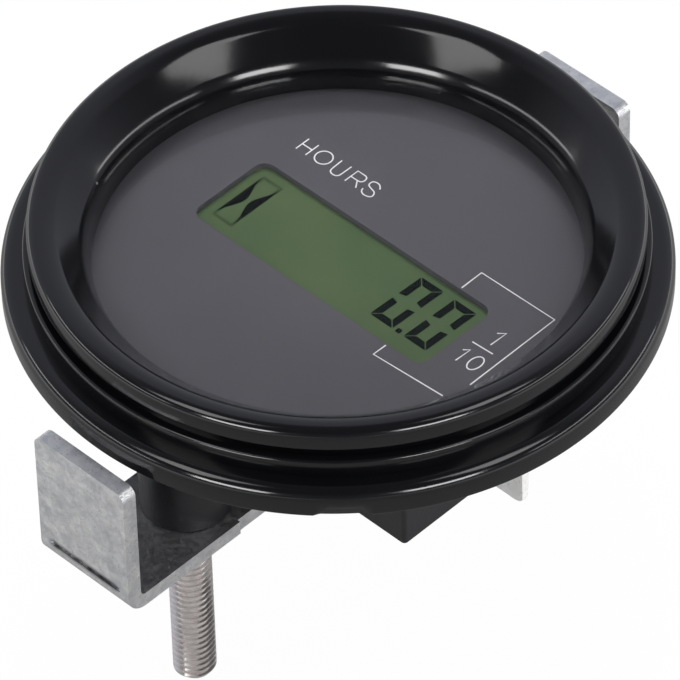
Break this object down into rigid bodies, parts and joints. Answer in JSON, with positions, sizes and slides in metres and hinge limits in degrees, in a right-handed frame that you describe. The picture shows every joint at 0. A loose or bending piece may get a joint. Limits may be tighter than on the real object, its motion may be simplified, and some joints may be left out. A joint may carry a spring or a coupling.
{
  "type": "panel hour meter",
  "caption": "Round panel hour meter with a stepped black bezel, a grey dial with a green digital counter, two rear studs and a folded steel clamp bracket.",
  "frame": {"origin": "centre of the flange's underside, the face that lies on the panel", "axes": "+Z out of the dial towards the reader, +X to the display's right, +Y to the display's top"},
  "size_m": [0.0598, 0.0646, 0.0437],
  "materials": {
    "bezel_black": "moulded gloss",
    "case_black": "moulded satin",
    "clear_lens": "polished",
    "dial_grey": "printed matt",
    "display_green": "satin film",
    "display_glass": "polished",
    "reflector_film": "brushed foil",
    "holder_white": "moulded",
    "contact_rubber": "matt",
    "board_green": "solder mask",
    "chip_black": "moulded",
    "can_steel": "bright",
    "tinned_brass": "tin plated",
    "capacitor_tan": "moulded",
    "seal_rubber": "matt",
    "stud_steel": "rolled thread",
    "bracket_zinc": "zinc plated"
  },
  "bodies": {
    "meter": {"front_bezel": "bezel_black", "lens": "clear_lens", "dial_plate": "dial_grey", "lcd_polariser": "display_green", "lcd_front_glass": "display_glass", "lcd_rear_glass": "display_glass", "lcd_reflector": "reflector_film", "lcd_holder": "holder_white", "contact_strip_upper": "contact_rubber", "contact_strip_lower": "contact_rubber", "circuit_board": "board_green", "controller_chip": "chip_black", "memory_chip": "chip_black", "quartz_crystal": "can_steel", "coin_cell": "can_steel", "cell_tab_positive": "tinned_brass", "cell_tab_negative": "tinned_brass", "bridge_rectifier": "chip_black", "dropping_resistor": "chip_black", "buffer_capacitor": "capacitor_tan", "rear_case": "case_black", "case_seal": "seal_rubber", "terminal_left": "tinned_brass", "terminal_right": "tinned_brass", "stud_upper": "stud_steel", "stud_lower": "stud_steel"},
    "bracket": {"clamp_bracket": "bracket_zinc"}
  },
  "joints": [
    {"name": "bracket_slide", "type": "slide", "parent": "meter", "child": "bracket", "axis": [0, 0, -1], "range_m": [0, 0.018]}
  ]
}
